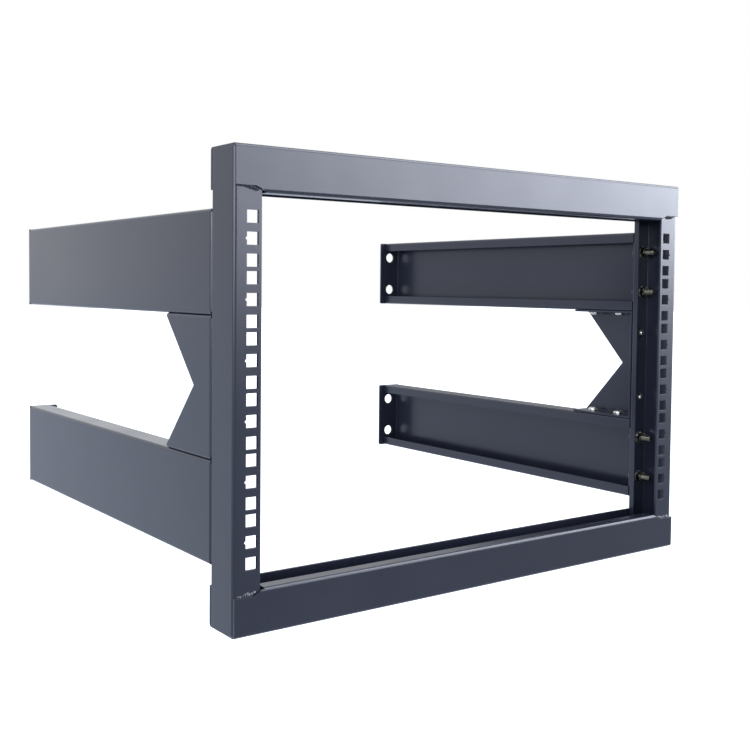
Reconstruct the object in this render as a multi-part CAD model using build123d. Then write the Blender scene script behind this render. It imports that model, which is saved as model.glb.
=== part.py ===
from build123d import *
import os
from math import cos, radians

# Wall mount rack for 19-inch equipment: an open front frame of two drilled posts and two folded
# beams, carried on four lipped arms that reach back to the wall, with a notched gusset between
# the arms of each side. All sizes are millimetres.
#
# The sizes are written in a frame centred on the hole pattern: X to the right, Y towards the
# wall with the wall plane at 0, Z up from the middle of the hole columns. The beams and posts
# stand a little lower than that middle. Every piece is moved at the end, so that the origin is
# on the wall side of the upper left arm's wall flange, midway between its two bolt holes.

# Rack standard
rack_units = 6
unit_height = 44.45
hole_offsets = (6.35, 22.225, 38.1)
opening_width = 450.0
hole_inset = 7.55
square_hole = 9.5
notch_radius = 1.2

# Overall sizes
rack_depth = 457.2
end_margin = 11.95
frame_drop = 0.9
beam_height = 34.5

# Sheet and folds
post_sheet = 2.0
beam_sheet = 2.0
arm_sheet = 2.0
gusset_sheet = 2.0
inner_bend = 0.5
edge_round = 2.0

# Posts
post_width = 23.0
post_depth = 35.0
post_lip = 7.0
post_end_gap = 0.1

# Beams
beam_lip = 12.0
beam_lip_corner = 5.0
beam_lip_end_gap = 3.0
beam_relief = 4.7
beam_relief_run = 9.0
beam_rear_inset = 0.7
beam_rear_relief = 3.0
beam_rear_relief_inset = 4.0
beam_end_inset = 0.5

# Arms
arm_height = 79.5
arm_centre_height = 94.25
arm_lip = 10.0
wall_flange = 30.0
wall_end_relief = 0.5
corner_cut = 1.0
tip_gap = 0.3
wall_hole = 12.0
wall_hole_pitch = 42.0
wall_hole_inset = 15.5

# Gussets
gusset_length = 77.0
notch_depth = 28.6

# Bolts that hold an arm to its post
arm_bolt = 6.0
arm_bolt_flats = 10.0
arm_bolt_head = 4.0
arm_bolt_nut = 5.0
arm_bolt_pitch = 40.0
arm_bolt_inset = 11.5
washer_diameter = 12.0
washer_sheet = 1.6

# Clearances of the bolts
hole_clearance = 0.6
thread_clearance = 0.1
bolt_reach = 9.4

# Welds at the front corners
weld_leg = 2.0
weld_length = 10.0
weld_centre_inset = 12.0

# Places worked out from the sizes
half_opening = opening_width / 2
half_width = half_opening + post_width
arm_flange = post_width
gusset_flange = post_width
hole_x = half_opening + hole_inset
half_clear = rack_units * unit_height / 2 + end_margin
half_height = half_clear + beam_height
beam_front = -rack_depth
post_front = beam_front + beam_sheet
post_rear = post_front + post_depth
beam_rear = post_rear + beam_sheet
post_half_height = half_height - beam_sheet - post_end_gap
flange_edge = half_clear + beam_relief
lip_half = half_opening - beam_lip_end_gap
arm_bottom = arm_centre_height - arm_height / 2
gusset_end = post_rear + gusset_length
cut = 1.0

os.makedirs("parts", exist_ok=True)


def folded_section(corners, sheet):
    """Section of a sheet that is folded to the right at each corner of its outer side."""
    outer_side = FilletPolyline(*corners, radius=sheet + inner_bend)
    return make_face(offset(outer_side, sheet, side=Side.RIGHT).edges())


def along_z(section, low, high):
    return extrude(Pos(0, 0, low) * section, amount=high - low, dir=(0, 0, 1))


def along_y(section, low, high):
    return extrude(Pos(0, low, 0) * (Plane.XZ * section), amount=high - low, dir=(0, 1, 0))


def along_x(section, low, high):
    return extrude(Pos(low, 0, 0) * (Plane.YZ * section), amount=high - low, dir=(1, 0, 0))


def block(x_range, y_range, z_range):
    """Box between two limits on each axis, given in any order."""
    size = [abs(b - a) for a, b in (x_range, y_range, z_range)]
    centre = [(a + b) / 2 for a, b in (x_range, y_range, z_range)]
    return Pos(*centre) * Box(*size)


def round_hole(diameter, length, place):
    """Drill through place, where the local Z axis of place is the hole's axis."""
    return place * Cylinder(diameter / 2, length, align=(Align.CENTER, Align.CENTER, Align.CENTER))


def to_right(piece):
    return mirror(piece, about=Plane.YZ)


def to_bottom(piece):
    return mirror(piece, about=Plane.XY)


# Beams and posts are drawn about the middle of the front frame and moved down by this
to_frame = Pos(0, 0, -frame_drop)


# Rack posts

def hole_heights():
    """Heights of the square holes, three to a rack unit."""
    base = -rack_units * unit_height / 2
    return [base + unit * unit_height + offset_up for unit in range(rack_units) for offset_up in hole_offsets]


def left_post():
    corners = (
        (-half_opening, post_front),
        (-half_width, post_front),
        (-half_width, post_rear),
        (-half_opening, post_rear),
        (-half_opening, post_rear - post_lip),
    )
    post = along_z(folded_section(corners, post_sheet), -post_half_height, post_half_height)
    post = to_frame * post
    holes = [
        block(
            (-half_width - cut, cut - half_opening),
            (face, face + inward * inner_bend),
            (end * (post_half_height - inner_bend) - frame_drop, end * (post_half_height + cut) - frame_drop),
        )
        for end in (-1, 1)
        for face, inward in ((post_front, 1), (post_rear, -1))
    ]
    for index, height in enumerate(hole_heights()):
        centre = Pos(-hole_x, post_front + post_sheet / 2, height)
        holes.append(centre * Box(square_hole, post_sheet + 2 * cut, square_hole))
        if index % len(hole_offsets) == 1:
            notch = extrude(Plane.XZ * RegularPolygon(notch_radius, 6), post_sheet / 2 + cut, both=True)
            holes.append(centre * Pos(-square_hole / 2, 0, 0) * notch)
    rear_web = post_rear - post_sheet / 2
    for side in (-1, 1):
        for pitch_side in (-1, 1):
            height = side * arm_centre_height + pitch_side * arm_bolt_pitch / 2
            place = Pos(arm_bolt_inset - half_width, rear_web, height) * Rot(90, 0, 0)
            holes.append(round_hole(arm_bolt + hole_clearance, post_sheet + 2 * cut, place))
    return post - holes


# Beams

def top_beam():
    """Channel that wraps both posts, with a stiffening lip on its front edge between them."""
    corners = (
        (beam_front + beam_lip, half_clear),
        (beam_front, half_clear),
        (beam_front, half_height),
        (beam_rear, half_height),
        (beam_rear, half_clear + beam_rear_inset),
    )
    half_length = half_width - beam_end_inset
    beam = along_x(folded_section(corners, beam_sheet), -half_length, half_length)
    end = half_width + cut
    relief = Polyline(
        (lip_half, half_clear - cut),
        (lip_half, half_clear + beam_sheet / 2),
        (lip_half + beam_relief_run, flange_edge),
        (end, flange_edge),
        (end, half_clear - cut),
        close=True,
    )
    lip_root = half_clear + beam_sheet + inner_bend
    for side in (-1, 1):
        relief_face = make_face(relief if side > 0 else mirror(relief, about=Plane.YZ))
        beam -= along_y(relief_face, beam_front - cut, post_front)
        beam -= block(
            (side * (half_opening + beam_rear_relief_inset), side * end),
            (post_rear, beam_rear + cut),
            (half_clear - cut, half_clear + beam_rear_relief),
        )
        beam -= block(
            (side * lip_half, side * end),
            (post_front, beam_front + beam_lip + cut),
            (half_clear - cut, lip_root),
        )
    lip_tip = beam_front + beam_lip
    corners_of_lip = beam.edges().filter_by(Axis.Z).filter_by(lambda edge: abs(edge.center().Y - lip_tip) < 0.01)
    return fillet(corners_of_lip, beam_lip_corner)


# Arms

def with_front_flange(channel, tip_x, low, high, sheet):
    """Channel that reaches the post, with its web folded in as a bolting flange between low and high."""
    fold = sheet + inner_bend
    edge = (-half_width - cut, fold - half_width)
    channel -= block(edge, (post_rear - cut, post_rear + corner_cut), (low - cut, high + cut))
    channel -= block(edge, (post_rear - cut, post_rear + fold), (low + fold, high - fold))
    plan_corners = ((tip_x, post_rear), (-half_width, post_rear), (-half_width, post_rear + fold + cut))
    return channel + along_z(folded_section(plan_corners, sheet), low + fold, high - fold)


def upper_left_arm():
    """Lipped channel with a bolting flange folded in at each end."""
    fold = arm_sheet + inner_bend
    low, high = arm_bottom, arm_bottom + arm_height
    lip_x = arm_flange - half_width
    channel_corners = (
        (lip_x, low + arm_lip),
        (lip_x, low),
        (-half_width, low),
        (-half_width, high),
        (lip_x, high),
        (lip_x, high - arm_lip),
    )
    channel_end = -fold - wall_end_relief
    wall_corners = ((-half_width, channel_end), (-half_width, 0), (wall_flange - half_width, 0))
    channel = along_y(folded_section(channel_corners, arm_sheet), post_rear, channel_end)
    wall_end = along_z(folded_section(wall_corners, arm_sheet), low, high)
    wall_end = fillet(wall_end.edges().filter_by(Axis.Y).group_by(Axis.X)[-1], edge_round)
    arm = with_front_flange(channel, lip_x - arm_sheet - tip_gap, low, high, arm_sheet) + wall_end
    holes = []
    for pitch_side in (-1, 1):
        bolt_place = Pos(
            arm_bolt_inset - half_width,
            post_rear + arm_sheet / 2,
            arm_centre_height + pitch_side * arm_bolt_pitch / 2,
        )
        holes.append(round_hole(arm_bolt + hole_clearance, arm_sheet + 2 * cut, bolt_place * Rot(90, 0, 0)))
        wall_place = Pos(
            wall_hole_inset - half_width,
            -arm_sheet / 2,
            arm_centre_height + pitch_side * wall_hole_pitch / 2,
        )
        holes.append(round_hole(wall_hole, arm_sheet + 2 * cut, wall_place * Rot(90, 0, 0)))
    return arm - holes


# Gussets

def left_gusset():
    """Plate between the two arms of a side, folded on three edges and notched on the fourth."""
    fold = gusset_sheet + inner_bend
    tip_x = gusset_flange - half_width
    channel_corners = (
        (tip_x, -arm_bottom),
        (-half_width, -arm_bottom),
        (-half_width, arm_bottom),
        (tip_x, arm_bottom),
    )
    channel = along_y(folded_section(channel_corners, gusset_sheet), post_rear, gusset_end)
    gusset = with_front_flange(channel, tip_x, -arm_bottom, arm_bottom, gusset_sheet)
    mouth = arm_bottom - fold
    notch = Polyline(
        (post_rear + notch_depth, 0),
        (gusset_end, mouth),
        (gusset_end + cut, mouth),
        (gusset_end + cut, -mouth),
        (gusset_end, -mouth),
        close=True,
    )
    return gusset - along_x(make_face(notch), -half_width - cut, tip_x + cut)


# Fasteners, each drawn along +Z with the seat of its head or nut at the local origin

def hexagon(across_flats, height):
    return extrude(RegularPolygon(across_flats / 2 / cos(radians(30)), 6), amount=height)


def hex_bolt(diameter, across_flats, head_height, length):
    """Hexagonal head above its seat and a plain shank below it."""
    shank = Cylinder(diameter / 2, length, align=(Align.CENTER, Align.CENTER, Align.MAX))
    return hexagon(across_flats, head_height) + shank


def nut(diameter, across_flats, height):
    bore = Cylinder(diameter / 2 + thread_clearance / 2, 3 * height)
    return hexagon(across_flats, height) - bore


def washer():
    disc = Cylinder(washer_diameter / 2, washer_sheet, align=(Align.CENTER, Align.CENTER, Align.MIN))
    return disc - Cylinder((arm_bolt + hole_clearance) / 2, 3 * washer_sheet)


def facing(point, direction):
    """Place whose local +Z runs along direction from point."""
    return Plane(origin=point, z_dir=direction).location


joint_sheets = post_sheet + arm_sheet
arm_bolt_length = joint_sheets + washer_sheet + arm_bolt_nut + bolt_reach


def arm_fasteners():
    """Bolts, washers and nuts of the upper left arm."""
    bolts, washers, nuts = [], [], []
    x = arm_bolt_inset - half_width
    for pitch_side in (-1, 1):
        z = arm_centre_height + pitch_side * arm_bolt_pitch / 2
        rear = post_rear + arm_sheet
        front = post_rear - post_sheet
        bolt = hex_bolt(arm_bolt, arm_bolt_flats, arm_bolt_head, arm_bolt_length)
        bolts.append(facing((x, rear, z), (0, 1, 0)) * bolt)
        washers.append(facing((x, front, z), (0, -1, 0)) * washer())
        nuts.append(facing((x, front - washer_sheet, z), (0, -1, 0)) * nut(arm_bolt, arm_bolt_flats, arm_bolt_nut))
    return bolts, washers, nuts


def upper_left_weld():
    """Rounded bead in the step between the beam's front flange and the post's front face."""
    quarter = make_face(
        Line((post_front, flange_edge), (post_front - weld_leg, flange_edge))
        + Line((post_front, flange_edge), (post_front, flange_edge - weld_leg))
        + RadiusArc((post_front - weld_leg, flange_edge), (post_front, flange_edge - weld_leg), -1.2 * weld_leg)
    )
    start = weld_centre_inset - half_width - weld_length / 2
    return along_x(quarter, start, start + weld_length)


# Every node of the rack

def same(piece):
    return piece


def to_bottom_right(piece):
    return to_bottom(to_right(piece))


sides = {"left": same, "right": to_right}
corners_of_rack = {
    "upper_left": same,
    "upper_right": to_right,
    "lower_left": to_bottom,
    "lower_right": to_bottom_right,
}

post = left_post()
beam = top_beam()
arm = upper_left_arm()
gusset = left_gusset()
bolts, washers, nuts = arm_fasteners()
weld = upper_left_weld()

nodes = {"top_beam": [to_frame * beam], "bottom_beam": [to_frame * to_bottom(beam)]}
for side, place in sides.items():
    nodes[f"{side}_post"] = [place(post)]
    nodes[f"{side}_gusset"] = [place(gusset)]
for corner, place in corners_of_rack.items():
    nodes[f"{corner}_arm"] = [place(arm)]
    nodes[f"{corner}_arm_bolts"] = [place(piece) for piece in bolts]
    nodes[f"{corner}_arm_washers"] = [place(piece) for piece in washers]
    nodes[f"{corner}_arm_nuts"] = [place(piece) for piece in nuts]
    nodes[f"{corner}_weld"] = [to_frame * place(weld)]

# Origin between the two bolt holes of the upper left wall flange, on its wall side
to_origin = Pos(half_width - wall_hole_inset, 0, -arm_centre_height)

for name, pieces in nodes.items():
    solids = [solid for piece in pieces for solid in (to_origin * piece).solids()]
    export_step(Compound(children=solids) if len(solids) > 1 else solids[0], f"parts/{name}.step")
    volume = sum(solid.volume for solid in solids)
    print(f"{name}: {len(solids)} solid(s), {volume / 1000:.2f} cm3")
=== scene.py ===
# %% [markdown]
# # An open wall mount rack for 19-inch equipment
# The rack is folded sheet steel: two drilled posts and two beams make the front frame, four
# lipped arms carry it from the wall, and a notched gusset joins the two arms of each side.
# The folded sheets come from the CAD model, because their bends and holes have to be exact.
# This script gives them their finish, makes the bolts, screws, nuts, washers and weld beads in
# full detail, and sets up the camera and the light of the photograph.

# %% Load the frame
import random
import bpy
import bmesh
from math import cos, sin, tan, pi, radians
from mathutils import Matrix, Vector


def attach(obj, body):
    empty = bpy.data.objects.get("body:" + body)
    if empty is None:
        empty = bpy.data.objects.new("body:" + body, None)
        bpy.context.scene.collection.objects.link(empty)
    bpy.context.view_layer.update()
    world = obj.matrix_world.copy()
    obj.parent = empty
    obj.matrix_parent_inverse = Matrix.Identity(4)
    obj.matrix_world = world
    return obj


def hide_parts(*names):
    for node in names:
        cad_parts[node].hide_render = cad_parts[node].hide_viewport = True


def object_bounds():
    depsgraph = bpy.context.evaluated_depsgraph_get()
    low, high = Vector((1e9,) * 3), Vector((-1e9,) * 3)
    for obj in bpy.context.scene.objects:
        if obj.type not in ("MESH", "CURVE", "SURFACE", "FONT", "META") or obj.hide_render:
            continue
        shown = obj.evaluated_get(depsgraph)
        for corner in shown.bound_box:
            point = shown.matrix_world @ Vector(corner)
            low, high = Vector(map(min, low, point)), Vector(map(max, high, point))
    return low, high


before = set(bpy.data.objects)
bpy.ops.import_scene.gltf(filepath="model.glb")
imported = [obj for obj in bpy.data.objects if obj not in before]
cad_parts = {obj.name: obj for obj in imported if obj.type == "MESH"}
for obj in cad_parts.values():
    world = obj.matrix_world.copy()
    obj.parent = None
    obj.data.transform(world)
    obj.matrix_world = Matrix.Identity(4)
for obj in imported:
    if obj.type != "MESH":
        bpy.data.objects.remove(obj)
cad_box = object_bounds()
print("CAD box", cad_box)

# %% [markdown]
# ## Sizes
# All sizes are in millimetres and repeat the named sizes of the CAD model. They are written
# from the middle of the rack, with the wall plane at Y = 0. The frame of the model has its
# origin on the upper left wall flange, so one helper moves a point there and turns it to metres.

# %% Sizes in millimetres
MM = 0.001
half_width = 248.0
wall_hole_inset = 15.5
arm_centre = 94.25
arm_height = 79.5
sheet = 2.0
post_front = -455.2
post_rear = -420.2
upper_flange_edge = 149.1
lower_flange_edge = -150.9
arm_bottom = arm_centre - arm_height / 2
arm_bolt_x = half_width - 11.5
arm_bolt_pitch = 40.0
large_screw_x = half_width - 10.8
small_screw_x = half_width - 13.7
small_screw_z = 32.5
gusset_screw_rows = (-394.7, -360.2)


def from_middle(x, y, z):
    """A point in mm from the middle of the rack, as a point of the model in metres."""
    return Vector((x + half_width - wall_hole_inset, y, z - arm_centre)) * MM


print("middle of the rack", from_middle(0, 0, 0))

# %% [markdown]
# ## The camera
# The 36 square holes of the posts lie on a known grid, so the camera could be worked out from
# where they fall in the photograph. It stands to the left of the rack, a little over a metre
# from it, and looks to the right and slightly down. The shift only moves the frame of the
# picture: it keeps the uprights as upright as they are in the photograph.

# %% Camera
camera_data = bpy.data.cameras.new("photo_camera")
camera_data.sensor_width = 36.0
camera_data.lens = 50.219
camera_data.shift_x = -0.003886
camera_data.shift_y = -0.05905
camera = bpy.data.objects.new("photo_camera", camera_data)
bpy.context.scene.collection.objects.link(camera)
camera_place = Vector((-376.495, -1121.470, -17.234)) * MM
camera_turn, camera_tilt, camera_roll = radians(-36.314), radians(-2.418), radians(0.569)
camera.matrix_world = (
    Matrix.Translation(camera_place)
    @ Matrix.Rotation(camera_turn, 4, "Z")
    @ Matrix.Rotation(radians(90) + camera_tilt, 4, "X")
    @ Matrix.Rotation(camera_roll, 4, "Z")
)
bpy.context.scene.camera = camera
print("camera stands at", tuple(round(v, 3) for v in camera.location))

# %% [markdown]
# ## Two helpers for nodes and colours
# Materials and Geometry Nodes are both trees of nodes. One small function adds a node, sets its
# properties and fills its sockets, with a plain value or with a link. Colours are written as
# the hex codes that a colour picker shows, and a second function turns them to the linear
# values that Blender calculates with.

# %% Helpers for nodes and colours
def add_node(tree, kind, settings=None, inputs=None):
    """Adds one node, sets its properties, and fills its sockets with values or links."""
    node = tree.nodes.new(kind)
    for name, value in (settings or {}).items():
        setattr(node, name, value)
    for name, value in (inputs or {}).items():
        if isinstance(value, bpy.types.NodeSocket):
            tree.links.new(value, node.inputs[name])
        else:
            node.inputs[name].default_value = value
    return node


def to_linear(hex_code):
    """Linear red, green, blue and alpha of an sRGB hex colour."""
    parts = [int(hex_code[i:i + 2], 16) / 255 for i in (1, 3, 5)]
    return (*[p / 12.92 if p <= 0.04045 else ((p + 0.055) / 1.055) ** 2.4 for p in parts], 1.0)


def new_material(name):
    """An empty material, its node tree and its output node."""
    material = bpy.data.materials.new(name)
    material.use_nodes = True
    material.node_tree.nodes.clear()
    return material, material.node_tree, add_node(material.node_tree, "ShaderNodeOutputMaterial")


def per_metre(size_mm):
    """Scale of a pattern whose grains are size_mm wide, on coordinates in metres."""
    return 1000.0 / size_mm


print("darker slate as linear values", [round(v, 4) for v in to_linear("#252936")])

# %% [markdown]
# ## Powder coat
# The sheets are steel, sprayed with dry polyester powder that melts in an oven to a skin
# 0.06 to 0.1 mm thick. It is a plastic, so it is not metallic and has an IOR near 1.5. The skin
# is semi-gloss, shows a fine orange peel of about a millimetre and a half, and its gloss drifts
# a little over a hand's width. It rounds every cut edge, which the Bevel node imitates in the
# shading alone, so the sheet keeps its exact size. At this distance the peel is close to one
# pixel wide, so it is kept shallow.

# %% Powder coat material
powder_coat, tree, output = new_material("slate_powder_coat")
place = add_node(tree, "ShaderNodeTexCoord").outputs["Object"]
gloss_drift = add_node(tree, "ShaderNodeTexNoise", inputs={
    "Vector": place, "Scale": per_metre(70), "Detail": 2.0, "Roughness": 0.5}).outputs[0]
peel = add_node(tree, "ShaderNodeTexNoise", inputs={
    "Vector": place, "Scale": per_metre(1.6), "Detail": 1.0, "Roughness": 0.4}).outputs[0]
grain = add_node(tree, "ShaderNodeTexNoise", inputs={
    "Vector": place, "Scale": per_metre(0.5), "Detail": 0.0}).outputs[0]
tint = add_node(tree, "ShaderNodeMix", {"data_type": "RGBA"}, {
    0: gloss_drift, 6: to_linear("#252936"), 7: to_linear("#282C3B")}).outputs[2]
speckle = add_node(tree, "ShaderNodeMapRange", inputs={
    "Value": grain, "From Min": 0.3, "From Max": 0.7, "To Min": 0.92, "To Max": 1.08}).outputs[0]
speckled = add_node(tree, "ShaderNodeVectorMath", {"operation": "SCALE"}, {
    0: tint, "Scale": speckle}).outputs[0]
roughness = add_node(tree, "ShaderNodeMapRange", inputs={
    "Value": gloss_drift, "From Min": 0.3, "From Max": 0.7,
    "To Min": 0.21, "To Max": 0.26}).outputs[0]
soft_edges = add_node(tree, "ShaderNodeBevel", {"samples": 6}, {"Radius": 0.35 * MM}).outputs[0]
bump = add_node(tree, "ShaderNodeBump", inputs={
    "Strength": 0.35, "Distance": 0.02 * MM, "Height": peel, "Normal": soft_edges}).outputs[0]
coat = add_node(tree, "ShaderNodeBsdfPrincipled", inputs={
    "Base Color": speckled, "Roughness": roughness, "Normal": bump, "IOR": 1.5})
tree.links.new(coat.outputs[0], output.inputs["Surface"])
print("powder coat has", len(tree.nodes), "nodes")

# %% [markdown]
# ## Zinc plate
# The bolts and screws are steel with a zinc plate a few thousandths of a millimetre thick. A
# metal has its colour in its reflection, so Metallic is 1 and the base colour is the grey of
# zinc. The film on it varies between a bluish and a faintly straw tint over a few millimetres,
# and tumbling in a drum leaves the gloss patchy. The roots of the threads are darkened as
# painted shade, found by the Pointiness of the mesh. The small screws and the washers are
# bright, and the bolts and nuts have a duller, more olive plate whose darker grey is partly
# painted shade, so one function makes both.

# %% Zinc plate materials
def zinc_material(name, bluish, straw, smoothest, roughest):
    """Zinc plate between two tints, with a gloss that drifts between two roughnesses."""
    material, tree, output = new_material(name)
    place = add_node(tree, "ShaderNodeTexCoord").outputs["Object"]
    clouds = add_node(tree, "ShaderNodeTexNoise", inputs={
        "Vector": place, "Scale": per_metre(3.5), "Detail": 3.0, "Roughness": 0.6}).outputs[0]
    knocks = add_node(tree, "ShaderNodeTexNoise", inputs={
        "Vector": place, "Scale": per_metre(0.7), "Detail": 2.0}).outputs[0]
    tint = add_node(tree, "ShaderNodeMix", {"data_type": "RGBA"}, {
        0: clouds, 6: to_linear(bluish), 7: to_linear(straw)}).outputs[2]
    # Painted shade: the tint falls to 6 percent in the hollow roots of the threads that
    # Pointiness finds.
    hollow = add_node(tree, "ShaderNodeNewGeometry").outputs["Pointiness"]
    root_shade = add_node(tree, "ShaderNodeMapRange", inputs={
        "Value": hollow, "From Min": 0.46, "From Max": 0.54,
        "To Min": 0.06, "To Max": 1.0}).outputs[0]
    root_shaded = add_node(tree, "ShaderNodeVectorMath", {"operation": "SCALE"}, {
        0: tint, "Scale": root_shade}).outputs[0]
    roughness = add_node(tree, "ShaderNodeMapRange", inputs={
        "Value": clouds, "From Min": 0.3, "From Max": 0.7,
        "To Min": smoothest, "To Max": roughest}).outputs[0]
    bump = add_node(tree, "ShaderNodeBump", inputs={
        "Strength": 0.25, "Distance": 0.02 * MM, "Height": knocks}).outputs[0]
    plate = add_node(tree, "ShaderNodeBsdfPrincipled", inputs={
        "Base Color": root_shaded, "Metallic": 1.0, "Roughness": roughness, "Normal": bump})
    tree.links.new(plate.outputs[0], output.inputs["Surface"])
    return material


bright_zinc = zinc_material("bright_zinc_plate", "#D3D9E0", "#DDD9C9", 0.16, 0.27)
# The olive plate has an olive tint of its own, and its darker grey than the bright plate is
# painted shade.
olive_zinc_and_shade = zinc_material("olive_zinc_plate_painted_shade", "#8F928B", "#938D78", 0.18, 0.32)
print("each zinc plate has", len(bright_zinc.node_tree.nodes), "nodes")

# %% [markdown]
# ## Finish of the folded sheets
# The sheets stay the exact CAD meshes. Only their material is changed, and the materials come
# from the name of each node: all but the small hardware is powder coated. The hardware of the
# CAD model is replaced further down by pieces with threads and turned corners.

# %% Dress the CAD nodes
hardware = ("_bolts", "_nuts", "_washers")
for name, node_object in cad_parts.items():
    node_material = olive_zinc_and_shade if name.endswith(hardware) else powder_coat
    node_object.data.materials.clear()
    node_object.data.materials.append(node_material)
print("dressed", len(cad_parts), "CAD nodes")

# %% [markdown]
# ## Round and hexagonal shapes from rings
# A bolt, a nut and a washer are all stacks of rings round one axis. A ring may be round or
# hexagonal, and a thread is a ring whose radius climbs as it goes round. Turning a profile with
# the Screw modifier would make the round parts only, so the rings are written as points and
# joined here. Every ring has the same number of points, and so any two rings can be joined.

# %% Rings joined to a mesh
RING = 48
RING_ANGLES = [2 * pi * i / RING for i in range(RING)]
SHARP_ANGLE = 32
SAME_POINT = 1e-7


def ring(height, radius):
    """Ring of points in mm. The height and the radius are numbers, or functions of the angle."""
    points = []
    for angle in RING_ANGLES:
        r = radius(angle) if callable(radius) else radius
        z = height(angle) if callable(height) else height
        points.append((r * cos(angle), r * sin(angle), z))
    return points


def hex_radius(across_flats):
    """Distance from the axis to a hexagon's side, as a function of the angle."""
    return lambda angle: across_flats / 2 / cos((angle + pi / 6) % (pi / 3) - pi / 6)


def join_rings(name, rings, closed_loop=False):
    """Object whose mesh joins the rings in order, with an end cap at each end or in a loop."""
    points = [Vector(p) * MM for one in rings for p in one]
    count = len(rings[0])
    faces = []
    for row in range(len(rings) if closed_loop else len(rings) - 1):
        low, high = row * count, (row + 1) % len(rings) * count
        for i in range(count):
            j = (i + 1) % count
            faces.append((low + i, low + j, high + j, high + i))
    if not closed_loop:
        faces.append(tuple(range(count)))
        faces.append(tuple(range(len(points) - count, len(points))))
    mesh = bpy.data.meshes.new(name)
    mesh.from_pydata(points, [], faces)
    return finished_object(name, mesh)


def finished_object(name, mesh):
    """Object with outward faces that shades smoothly, but not over sharp edges."""
    work = bmesh.new()
    work.from_mesh(mesh)
    bmesh.ops.remove_doubles(work, verts=work.verts, dist=SAME_POINT)
    bmesh.ops.recalc_face_normals(work, faces=work.faces)
    work.to_mesh(mesh)
    work.free()
    mesh.polygons.foreach_set("use_smooth", [True] * len(mesh.polygons))
    mesh.set_sharp_from_angle(angle=radians(SHARP_ANGLE))
    made = bpy.data.objects.new(name, mesh)
    bpy.context.scene.collection.objects.link(made)
    return made


print("points in a ring:", RING)

# %% [markdown]
# ## Threads
# A screw thread is a groove that climbs by one pitch at each turn. Each point of the shank
# takes its radius from how far it is along that climb: a triangle wave, as deep as about 0.6 of
# the pitch. The first turns at the tip are cut down by a short cone, as on a rolled thread.

# %% Thread rings
def thread_rings(major, pitch, top, length):
    """Rings of a threaded shank from height top down by length, ending in a short cone."""
    depth, tip, steps_in_turn = 0.6 * pitch, 0.6, 8
    count = int(length / pitch * steps_in_turn)
    rings = []
    for step in range(count + 1):
        down = length * step / count
        room = min(major / 2, major / 2 - depth + (length - down) * depth / tip)

        def radius(angle, down=down, room=room):
            climb = (down / pitch + angle / (2 * pi)) % 1.0
            return min(room, major / 2 - depth * abs(2 * climb - 1))

        rings.append(ring(top - down, radius))
    return rings


print("rings in 3 mm of thread:", len(thread_rings(6.0, 1.0, 0.0, 3.0)))

# %% [markdown]
# ## Hexagonal bolt and nut
# The head is a hexagon whose corners are turned off at 30 degrees, which leaves the curved line
# that is seen under the top of every bolt head. A line of the cone meets each side of the
# hexagon at its own height, so the height of one ring is a function of the angle. Under the head
# is a thin round seat. The bolt's head stands at Z above 0 and its shank hangs below it.

# %% Hexagonal bolt, nut and washer
# Radius of the flat top inside the turned corners, as a share of the size across the flats.
FLAT_TOP = 0.475


def turned_corner(across_flats, height):
    """Height where the 30 degree cone leaves the hexagon's side, as a function of the angle."""
    outline, flat = hex_radius(across_flats), FLAT_TOP * across_flats
    return lambda angle: height - (outline(angle) - flat) * tan(radians(30))


def hex_bolt(name, major, pitch, across_flats, head, length, threaded):
    """Bolt of a length under its head, with a thread on the last part of the shank."""
    seat_height, seat_radius, middle = 0.2, 0.46 * across_flats, 0.30 * across_flats
    rings = [
        ring(head, middle),
        ring(head, FLAT_TOP * across_flats),
        ring(turned_corner(across_flats, head), hex_radius(across_flats)),
        ring(seat_height, hex_radius(across_flats)),
        ring(seat_height, seat_radius),
        ring(0.0, seat_radius),
        ring(0.0, major / 2),
    ]
    return join_rings(name, rings + thread_rings(major, pitch, threaded - length, threaded))


def hex_nut(name, major, across_flats, height):
    """Nut with turned corners at both ends and a countersunk bore."""
    corner = turned_corner(across_flats, height)
    bore, mouth, countersink = major / 2 * 1.01, major / 2 * 1.1, 0.4
    rings = [
        ring(0.0, mouth),
        ring(0.0, FLAT_TOP * across_flats),
        ring(lambda angle: height - corner(angle), hex_radius(across_flats)),
        ring(corner, hex_radius(across_flats)),
        ring(height, FLAT_TOP * across_flats),
        ring(height, mouth),
        ring(height - countersink, bore),
        ring(countersink, bore),
    ]
    return join_rings(name, rings, closed_loop=True)


def washer(name, inner, outer, thickness):
    """Flat ring, with the slightly rounded rim that punching and tumbling leave."""
    rim = 0.25
    rings = [
        ring(0.0, inner / 2 + rim), ring(0.0, outer / 2 - rim),
        ring(0.3 * rim, outer / 2 - 0.3 * rim), ring(rim, outer / 2),
        ring(thickness - rim, outer / 2),
        ring(thickness - 0.3 * rim, outer / 2 - 0.3 * rim), ring(thickness, outer / 2 - rim),
        ring(thickness, inner / 2 + rim), ring(thickness - rim, inner / 2), ring(rim, inner / 2),
    ]
    return join_rings(name, rings, closed_loop=True)


washer_thickness = 1.6
bolt_pattern = hex_bolt("bolt_pattern", major=6.0, pitch=1.0, across_flats=10.0, head=4.0,
                        length=20.0, threaded=11.0)
nut_pattern = hex_nut("nut_pattern", major=6.0, across_flats=10.0, height=5.0)
washer_pattern = washer("washer_pattern", inner=6.6, outer=12.0, thickness=washer_thickness)
for pattern in (bolt_pattern, nut_pattern, washer_pattern):
    print(pattern.name, "has", len(pattern.data.polygons), "faces")

# %% [markdown]
# ## Pan head screw with a cross recess
# The head is a low dome with a soft shoulder, close to a superellipse in section. The recess is
# a cross that narrows as it goes down. A dome is easy to make from rings but a cross is not, so
# the cross is a second shape that a Boolean modifier takes away. The modifier is applied to the
# one pattern screw, before it is repeated.

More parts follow.
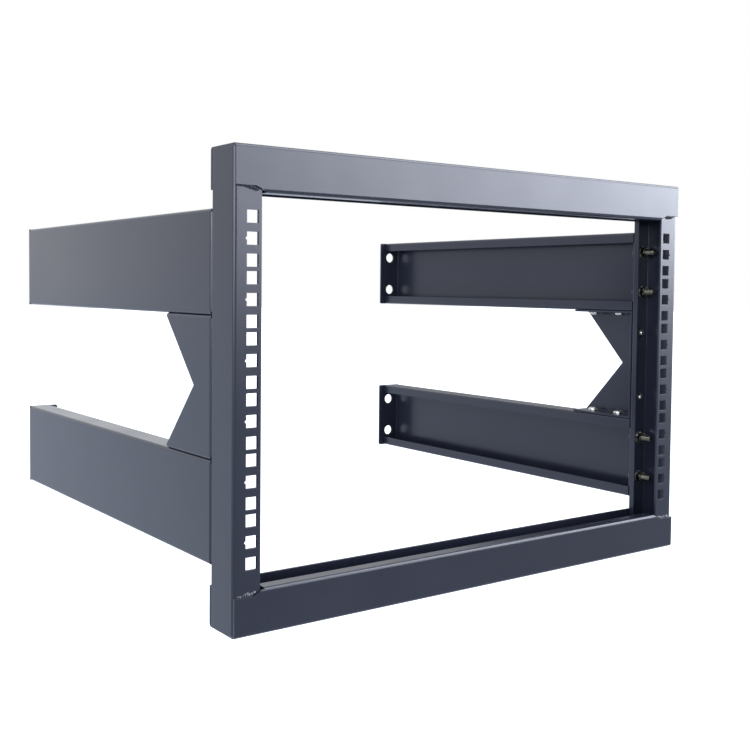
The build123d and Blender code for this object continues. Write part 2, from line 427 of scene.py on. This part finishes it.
# %% Pan head screw
def cross_cutter(top, width, reach, depth):
    """Tapered cross that is cut out of a screw's head, its mouth a little above the head."""
    w, r = width / 2, reach / 2
    outline = [(r, -w), (r, w), (w, w), (w, r), (-w, r), (-w, w),
               (-r, w), (-r, -w), (-w, -w), (-w, -r), (w, -r), (w, -w)]
    above, size_above, size_at_bottom = 0.5, 1.1, 0.5
    rings = []
    for height, size in ((top + above, size_above), (top, 1.0), (top - depth, size_at_bottom)):
        rings.append([(x * size, y * size, height) for x, y in outline])
    return join_rings("cross_cutter", rings)


def pan_screw(name, major, pitch, head_width, head, length, threaded):
    """Screw of a length under its head, with a thread on the last part and a cross recess."""
    radius, power, brim, undercut, steps = head_width / 2, 3.2, 0.25, 0.1, 12
    rings = []
    for step in range(1, steps + 1):
        turn = radians(90) * step / steps
        across = radius * sin(turn) ** (2 / power)
        rings.append(ring(brim + (head - brim) * max(cos(turn), 0.0) ** (2 / power), across))
    rings += [ring(0.0, radius - undercut), ring(0.0, major / 2)]
    screw = join_rings(name, rings + thread_rings(major, pitch, threaded - length, threaded))
    cutter = cross_cutter(head, 0.15 * head_width, 0.56 * head_width, 0.6 * head)
    cut = screw.modifiers.new("recess", "BOOLEAN")
    cut.operation, cut.solver, cut.object = "DIFFERENCE", "EXACT", cutter
    bpy.context.view_layer.update()
    screw_now = screw.evaluated_get(bpy.context.evaluated_depsgraph_get())
    plain = bpy.data.meshes.new_from_object(screw_now)
    screw.modifiers.clear()
    screw.data = plain
    bpy.data.objects.remove(cutter)
    return screw


large_screw_pattern = pan_screw("large_screw_pattern", major=5.0, pitch=0.8, head_width=10.4,
                                head=3.1, length=10.4, threaded=4.0)
small_screw_pattern = pan_screw("small_screw_pattern", major=4.0, pitch=0.7, head_width=8.0,
                                head=2.8, length=8.7, threaded=3.0)
large_nut_pattern = hex_nut("large_nut_pattern", major=5.0, across_flats=8.0, height=4.0)
small_nut_pattern = hex_nut("small_nut_pattern", major=4.0, across_flats=7.0, height=3.2)
print("faces of a pan head screw:", len(large_screw_pattern.data.polygons))

# %% [markdown]
# ## One tree that sets every fastener
# The same few shapes are repeated dozens of times, each seated on a sheet and pointing along
# its own direction. That is work for Geometry Nodes. A mesh of loose points says where, an
# attribute on the points says which way each one faces, and the tree puts the pattern on every
# point. A fitter never stops two nuts at the same turn, so the tree turns each one about its
# axis by a random angle up to a largest turn, from a fixed seed. The instances are made real at
# the end, because the export only keeps real meshes.

# %% Geometry Nodes tree for fasteners
setter = bpy.data.node_groups.new("Set fasteners", "GeometryNodeTree")
sockets = setter.interface
sockets.new_socket("Seats", in_out="INPUT", socket_type="NodeSocketGeometry")
pattern_in = sockets.new_socket("Pattern", in_out="INPUT", socket_type="NodeSocketObject")
turn_in = sockets.new_socket("Largest turn", in_out="INPUT", socket_type="NodeSocketFloat")
seed_in = sockets.new_socket("Seed", in_out="INPUT", socket_type="NodeSocketInt")
finish_in = sockets.new_socket("Finish", in_out="INPUT", socket_type="NodeSocketMaterial")
sockets.new_socket("Fasteners", in_out="OUTPUT", socket_type="NodeSocketGeometry")
given = add_node(setter, "NodeGroupInput")
facing = add_node(setter, "GeometryNodeInputNamedAttribute", {"data_type": "FLOAT_VECTOR"}, {
    "Name": "facing"})
aligned = add_node(setter, "FunctionNodeAlignRotationToVector", {"axis": "Z"}, {
    "Vector": facing.outputs["Attribute"]})
chance = add_node(setter, "FunctionNodeRandomValue", {"data_type": "FLOAT"}, {
    "Max": given.outputs["Largest turn"], "Seed": given.outputs["Seed"]})
spin = add_node(setter, "FunctionNodeAxisAngleToRotation", inputs={
    "Axis": (0.0, 0.0, 1.0), "Angle": chance.outputs["Value"]})
turned = add_node(setter, "FunctionNodeRotateRotation", {"rotation_space": "LOCAL"}, {
    "Rotation": aligned.outputs[0], "Rotate By": spin.outputs[0]})
pattern = add_node(setter, "GeometryNodeObjectInfo", inputs={"Object": given.outputs["Pattern"]})
placed = add_node(setter, "GeometryNodeInstanceOnPoints", inputs={
    "Points": given.outputs["Seats"], "Instance": pattern.outputs["Geometry"],
    "Rotation": turned.outputs[0]})
real = add_node(setter, "GeometryNodeRealizeInstances", inputs={"Geometry": placed.outputs[0]})
dressed = add_node(setter, "GeometryNodeSetMaterial", inputs={
    "Geometry": real.outputs[0], "Material": given.outputs["Finish"]})
add_node(setter, "NodeGroupOutput", inputs={"Fasteners": dressed.outputs[0]})
print("the tree has", len(setter.nodes), "nodes")

# %% [markdown]
# ## Fill the seats
# A helper makes the points, runs the tree and puts its result in their place as a plain mesh.

# %% Helper that sets one kind of fastener
def set_fasteners(name, pattern, seats, finish, largest_turn, seed):
    """Piece with one copy of pattern on each seat, a pair of a point and a direction."""
    mesh = bpy.data.meshes.new(name)
    mesh.from_pydata([point for point, _ in seats], [], [])
    facing_of_point = mesh.attributes.new("facing", "FLOAT_VECTOR", "POINT")
    for index, (_, direction) in enumerate(seats):
        facing_of_point.data[index].vector = direction
    piece = bpy.data.objects.new(name, mesh)
    bpy.context.scene.collection.objects.link(piece)
    modifier = piece.modifiers.new("set", "NODES")
    modifier.node_group = setter
    modifier[pattern_in.identifier] = pattern
    modifier[turn_in.identifier] = largest_turn
    modifier[seed_in.identifier] = seed
    modifier[finish_in.identifier] = finish
    bpy.context.view_layer.update()
    piece_now = piece.evaluated_get(bpy.context.evaluated_depsgraph_get())
    plain = bpy.data.meshes.new_from_object(piece_now)
    piece.modifiers.clear()
    piece.data = plain
    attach(piece, "root")
    print(name, len(seats), "seats,", len(plain.polygons), "faces")
    return piece


SIDES = (-1, 1)
ANY_TURN = 2 * pi
corners = [f"{level}_{side}" for level in ("upper", "lower") for side in ("left", "right")]
print("corners of the rack:", corners)

# %% [markdown]
# ## Bolts between posts and arms
# Two bolts hold each arm to its post. Each comes from behind, through the arm's flange and the
# post's rear flange, with a washer and a nut inside the post. The channel of the arm is narrow,
# so a spanner leaves the heads with two flats along the arm's web, and their largest turn is
# zero. The three pieces stand for the plain bolts, washers and nuts of the CAD model.

# %% Arm bolts, washers and nuts
bolt_places = [
    (side * arm_bolt_x, level * arm_centre + pitch_side * arm_bolt_pitch / 2)
    for side in SIDES for level in SIDES for pitch_side in SIDES
]
behind = (0.0, 1.0, 0.0)
in_front = (0.0, -1.0, 0.0)
bolt_seats = [(from_middle(x, post_rear + sheet, z), behind) for x, z in bolt_places]
washer_seats = [(from_middle(x, post_rear - sheet, z), in_front) for x, z in bolt_places]
nut_face = post_rear - sheet - washer_thickness
nut_seats = [(from_middle(x, nut_face, z), in_front) for x, z in bolt_places]
arm_bolts = set_fasteners("arm_bolts", bolt_pattern, bolt_seats, olive_zinc_and_shade, 0.0, 3)
arm_washers = set_fasteners("arm_washers", washer_pattern, washer_seats, bright_zinc, ANY_TURN, 5)
arm_nuts = set_fasteners("arm_nuts", nut_pattern, nut_seats, olive_zinc_and_shade, ANY_TURN, 8)
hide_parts(*[f"{corner}_arm_bolts" for corner in corners])
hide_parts(*[f"{corner}_arm_washers" for corner in corners])
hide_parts(*[f"{corner}_arm_nuts" for corner in corners])

# %% [markdown]
# ## Screws of the gussets
# A gusset is screwed to the arm above it and the arm below it by two larger pan head screws
# each, with their heads inside the gusset and their nuts in the arm. Two smaller ones hold its
# front flange to the post, with their nuts inside the post.

# %% Gusset screws and nuts
arm_joint = [
    (side * large_screw_x, y, level)
    for side in SIDES for y in gusset_screw_rows for level in SIDES
]
head_level, nut_level = arm_bottom - sheet, arm_bottom + sheet
large_screw_seats = [
    (from_middle(x, y, level * head_level), (0, 0, -level)) for x, y, level in arm_joint]
large_nut_seats = [
    (from_middle(x, y, level * nut_level), (0, 0, level)) for x, y, level in arm_joint]
post_joint = [(side * small_screw_x, level * small_screw_z) for side in SIDES for level in SIDES]
small_screw_seats = [(from_middle(x, post_rear + sheet, z), behind) for x, z in post_joint]
small_nut_seats = [(from_middle(x, post_rear - sheet, z), in_front) for x, z in post_joint]
gusset_sets = (
    ("gusset_arm_screws", large_screw_pattern, large_screw_seats, bright_zinc, 11),
    ("gusset_arm_nuts", large_nut_pattern, large_nut_seats, olive_zinc_and_shade, 13),
    ("gusset_post_screws", small_screw_pattern, small_screw_seats, bright_zinc, 17),
    ("gusset_post_nuts", small_nut_pattern, small_nut_seats, olive_zinc_and_shade, 19),
)
for name, pattern, seats, finish, seed in gusset_sets:
    set_fasteners(name, pattern, seats, finish, ANY_TURN, seed)
for used in (bolt_pattern, nut_pattern, washer_pattern, large_screw_pattern, small_screw_pattern,
             large_nut_pattern, small_nut_pattern):
    bpy.data.objects.remove(used)

# %% [markdown]
# ## Weld beads
# A short bead joins each beam to each post in the step where the beam's flange lies on the
# post. A weld is laid by hand in small overlapping pools, so its skin has ripples, no two pools
# are equally large, the bead swells where the torch was held longest, and the four beads differ
# in place and length. It could be a string of flattened balls, but one skin with a rippled size
# has no inner faces, so the bead is a row of quarter ovals whose size follows the pools, set
# along the edge of the flange, which slopes near its inner end. The powder coat covers it.

# %% Weld beads
slope_start, slope_run, slope_drop = 233.5, 9.0, 3.7
bead_out, bead_down, ripple = 1.95, 3.8, 1.9
smallest_pool, ripple_depth, least_swell, swell_reach = 0.65, 0.14, 0.45, 6.0
end_power, least_end, bead_steps = 5, 0.02, 120


def bead_size(along, distance, length, pools):
    """Size of a bead as a share, from its round ends, its swelling and its pools."""
    round_end = max(1 - abs(2 * along - 1) ** end_power, least_end) ** 0.5
    near = cos(min(distance / swell_reach, 1.0) * pi / 2)
    swell = least_swell + (1 - least_swell) * near
    pool, into = divmod(along * length / ripple, 1.0)
    pool_size = pools[int(pool)] * (1 - into) + pools[int(pool) + 1] * into
    return round_end * swell * (pool_size - ripple_depth * (1 - sin(pi * into)))


def weld_bead(name, side, level, edge, centre, length, swell_at, seed):
    """Bead on the post's front face, under the beam's flange, for one corner of the frame."""
    uneven = random.Random(seed)
    pools = [uneven.uniform(smallest_pool, 1.0) for _ in range(int(length / ripple) + 2)]
    sections = []
    for step in range(bead_steps + 1):
        along = step / bead_steps
        from_rack_middle = centre + length * (along - 0.5)
        size = bead_size(along, abs(from_rack_middle - swell_at), length, pools)
        slope = min(max((slope_start - from_rack_middle) / slope_run, 0.0), 1.0)
        x, root = side * from_rack_middle, edge - level * slope_drop * slope
        section = [(x, post_front, root)]
        for degrees in range(0, 91, 10):
            forward = bead_out * size * sin(radians(degrees))
            down = level * bead_down * size * cos(radians(degrees))
            section.append((x, post_front - forward, root - down))
        sections.append([tuple(from_middle(*p) / MM) for p in section])
    bead = join_rings(name, sections)
    bead.data.materials.append(powder_coat)
    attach(bead, "root")
    return bead


# Each bead: its middle, its length and where it swells most, in mm from the rack's middle.
bead_runs = {"upper_left": (237.0, 19.0, 233.0), "upper_right": (236.5, 14.0, 236.0),
             "lower_left": (237.0, 18.0, 234.5), "lower_right": (236.0, 16.0, 240.0)}
for seed, (corner, (centre, length, swell_at)) in enumerate(bead_runs.items()):
    side = -1 if "left" in corner else 1
    level, edge = (1, upper_flange_edge) if "upper" in corner else (-1, lower_flange_edge)
    bead = weld_bead(f"{corner}_weld_bead", side, level, edge, centre, length, swell_at, seed)
    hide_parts(f"{corner}_weld")
    print(bead.name, len(bead.data.polygons), "faces")

# %% [markdown]
# ## Floor
# The rack hangs on a wall, so nothing touches the floor, which lies well below it. The floor
# and the room are white. The floor takes the rack's soft shadow as a diffuse surface and adds
# just enough light of its own, seen by camera and mirror rays only, to read as white paper. In
# front of the rack the paper turns a light grey, which keeps the lower faces of the coat dark.
# Its slight blue stands for the daylight that falls on the lower faces of the arms.

# %% Floor
floor_mesh = bpy.data.meshes.new("floor")
floor_half, floor_drop = 30.0, 0.5
floor_level = cad_box[0][2] - floor_drop
floor_corners = [(x * floor_half, y * floor_half, floor_level)
                 for x, y in ((-1, -1), (1, -1), (1, 1), (-1, 1))]
floor_mesh.from_pydata(floor_corners, [], [(0, 1, 2, 3)])
floor = bpy.data.objects.new("floor", floor_mesh)
bpy.context.scene.collection.objects.link(floor)
paper, tree, output = new_material("white_studio_paper")
glow_in_mirror, glow_to_camera = 0.05, 0.75
seen = add_node(tree, "ShaderNodeLightPath").outputs
mirrored = add_node(tree, "ShaderNodeMath", {"operation": "MULTIPLY"}, {
    0: seen["Is Glossy Ray"], 1: glow_in_mirror}).outputs[0]
glow_level = add_node(tree, "ShaderNodeMath", {"operation": "MULTIPLY_ADD"}, {
    0: seen["Is Camera Ray"], 1: glow_to_camera, 2: mirrored}).outputs[0]
spot = add_node(tree, "ShaderNodeTexCoord").outputs["Object"]
forward = add_node(tree, "ShaderNodeSeparateXYZ", inputs={0: spot}).outputs["Y"]
grey_to, white_from = -1.6, -0.9
on_paper = add_node(tree, "ShaderNodeMapRange", {"interpolation_type": "SMOOTHSTEP"}, {
    "Value": forward, "From Min": grey_to, "From Max": white_from}).outputs[0]
shade = add_node(tree, "ShaderNodeMix", {"data_type": "RGBA"}, {
    0: on_paper, 6: to_linear("#BABDC1"), 7: to_linear("#E8F0FA")}).outputs[2]
matt = add_node(tree, "ShaderNodeBsdfDiffuse", inputs={"Color": shade})
glow = add_node(tree, "ShaderNodeEmission", inputs={"Strength": glow_level})
both = add_node(tree, "ShaderNodeAddShader", inputs={0: matt.outputs[0], 1: glow.outputs[0]})
tree.links.new(both.outputs[0], output.inputs["Surface"])
floor_mesh.materials.append(paper)
print("floor at", round(floor_level, 3), "m")

# %% [markdown]
# ## Light
# The photograph was taken in a white room with large windows. Most faces only mirror that white,
# faintly at steep angles and strongly at grazing ones. Brighter windows in front and to the
# right make the beams brighten from left to right, and a dimmer one at the left draws the bright
# line on the post's bend. Area lamps could be the windows, but they would also burn a hot spot on
# the floor near them, which the coat would mirror. So the windows are part of the world, far
# away, and a ramp gives their strength by direction round the horizon.

# %% World with windows round the horizon
world = bpy.data.worlds.new("white_room")
bpy.context.scene.world = world
world.use_nodes = True
tree = world.node_tree
tree.nodes.clear()
direction = add_node(tree, "ShaderNodeTexCoord").outputs["Generated"]
part = add_node(tree, "ShaderNodeSeparateXYZ", inputs={0: direction}).outputs
to_front = add_node(tree, "ShaderNodeMath", {"operation": "MULTIPLY"}, {
    0: part["Y"], 1: -1.0}).outputs[0]
azimuth = add_node(tree, "ShaderNodeMath", {"operation": "ARCTAN2"}, {
    0: part["X"], 1: to_front}).outputs[0]
around = add_node(tree, "ShaderNodeMapRange", inputs={
    "Value": azimuth, "From Min": -pi, "From Max": pi}).outputs[0]
# Strength at each azimuth in degrees: 0 is straight in front of the rack, 90 is to its right.
window_stops = {-104: 0.0, -84: 0.45, -50: 0.45, -36: 0.0,
                6: 0.0, 28: 0.33, 44: 0.55, 54: 0.8, 80: 0.74, 96: 0.0}
ramp = add_node(tree, "ShaderNodeValToRGB", inputs={0: around})
while len(ramp.color_ramp.elements) < len(window_stops):
    ramp.color_ramp.elements.new(0.5)
for element, (degrees, amount) in zip(ramp.color_ramp.elements, sorted(window_stops.items())):
    element.position = (degrees + 180) / 360
    element.color = (amount, amount, amount, 1.0)
print("windows round the horizon, in degrees:", window_stops)

# %% [markdown]
# ## Bands of window
# The windows begin at eye level, which makes the posts fade from top to bottom, and soft steps
# bound a few bands of them in height. Each band has one level as a lamp and another in a mirror.
# The low band and a weak, tall one light the rack. The other two are only for mirror rays, so the
# bends and the plated screws have something bright to show without more light on the rack. Seen
# from well below, front faces turn white, most likely because they mirror these windows too.

# %% Bands of window by height
seen = add_node(tree, "ShaderNodeLightPath").outputs
mirrored = add_node(tree, "ShaderNodeMath", {"operation": "MAXIMUM"}, {
    0: seen["Is Glossy Ray"], 1: seen["Is Transmission Ray"]}).outputs[0]


def fade(strength, value, begins, ends):
    """Strength where value lies inside two soft bounds, in degrees of azimuth or of height."""
    for (first, last), (low, high) in ((begins, (0.0, 1.0)), (ends, (1.0, 0.0))):
        bounds = [radians(a) if value is azimuth else sin(radians(a)) for a in (first, last)]
        step = add_node(tree, "ShaderNodeMapRange", {"interpolation_type": "SMOOTHSTEP"}, {
            "Value": value, "From Min": bounds[0], "From Max": bounds[1],
            "To Min": low, "To Max": high}).outputs[0]
        strength = add_node(tree, "ShaderNodeMath", {"operation": "MULTIPLY"}, {
            0: strength, 1: step}).outputs[0]
    return strength


# Each band of window: where it begins and ends in height, its level as a lamp and in a mirror.
window_bands = (
    ((-0.5, 3.5), (9.0, 13.0), 8.0, 10.0),
    ((-0.5, 3.5), (12.5, 16.0), 0.0, 7.5),
    ((-0.5, 3.5), (50.0, 75.0), 1.5, 2.5),
    ((17.0, 26.0), (50.0, 75.0), 0.0, 8.0),
)
window_level = 0.0
for begins, ends, lamp_level, mirror_level in window_bands:
    level = add_node(tree, "ShaderNodeMapRange", inputs={
        "Value": mirrored, "To Min": lamp_level, "To Max": mirror_level}).outputs[0]
    window_level = add_node(tree, "ShaderNodeMath", {"operation": "ADD"}, {
        0: fade(level, part["Z"], begins, ends), 1: window_level}).outputs[0]
window_level = add_node(tree, "ShaderNodeMath", {"operation": "MULTIPLY"}, {
    0: window_level, 1: ramp.outputs[0]}).outputs[0]
window_light = add_node(tree, "ShaderNodeBackground", inputs={
    "Color": to_linear("#EBF0FF"), "Strength": window_level})
print("bands of window:", len(window_bands))

# %% [markdown]
# ## The room and its dark patches
# The rest of the room lights the rack evenly. Behind the rack it has two darker patches, seen in
# the mirror alone, which stand for furniture and doors and keep the sheets from mirroring one
# even white. The camera sees plain white in place of the room, as in the photograph.

# %% Plain room with dark patches
# Each dark patch: where it begins and ends round the horizon, then in height, and how dark.
dark_patches = (
    ((118.0, 130.0), (146.0, 154.0), (-3.0, -1.0), (6.0, 14.0), 0.95),
    ((-157.0, -150.0), (-138.0, -128.0), (-3.0, -1.0), (8.0, 14.0), 0.3),
)
darkness = 0.0
for left, right, bottom, top, amount in dark_patches:
    patch = fade(fade(mirrored, azimuth, left, right), part["Z"], bottom, top)
    darkness = add_node(tree, "ShaderNodeMath", {"operation": "MULTIPLY_ADD"}, {
        0: patch, 1: amount, 2: darkness}).outputs[0]
room_as_lamp, room_in_mirror = 0.8, 1.15
plain_level = add_node(tree, "ShaderNodeMapRange", inputs={
    "Value": mirrored, "To Min": room_as_lamp, "To Max": room_in_mirror}).outputs[0]
brightness = add_node(tree, "ShaderNodeMath", {"operation": "SUBTRACT"}, {
    0: 1.0, 1: darkness}).outputs[0]
room_level = add_node(tree, "ShaderNodeMath", {"operation": "MULTIPLY"}, {
    0: plain_level, 1: brightness}).outputs[0]
room_light = add_node(tree, "ShaderNodeBackground", inputs={
    "Color": to_linear("#F7FAFF"), "Strength": room_level})
room = add_node(tree, "ShaderNodeAddShader", inputs={
    0: room_light.outputs[0], 1: window_light.outputs[0]})
white = add_node(tree, "ShaderNodeBackground", inputs={
    "Color": to_linear("#FFFFFF"), "Strength": 1.0})
sky = add_node(tree, "ShaderNodeMixShader", inputs={
    0: seen["Is Camera Ray"], 1: room.outputs[0], 2: white.outputs[0]})
add_node(tree, "ShaderNodeOutputWorld", inputs={"Surface": sky.outputs[0]})
print("the world has", len(tree.nodes), "nodes")

# %% [markdown]
# ## Colours
# The Standard view transform shows a colour about as its hex code is written, where the others
# would bend its contrast.

# %% Colour management
bpy.context.scene.view_settings.view_transform = "Standard"
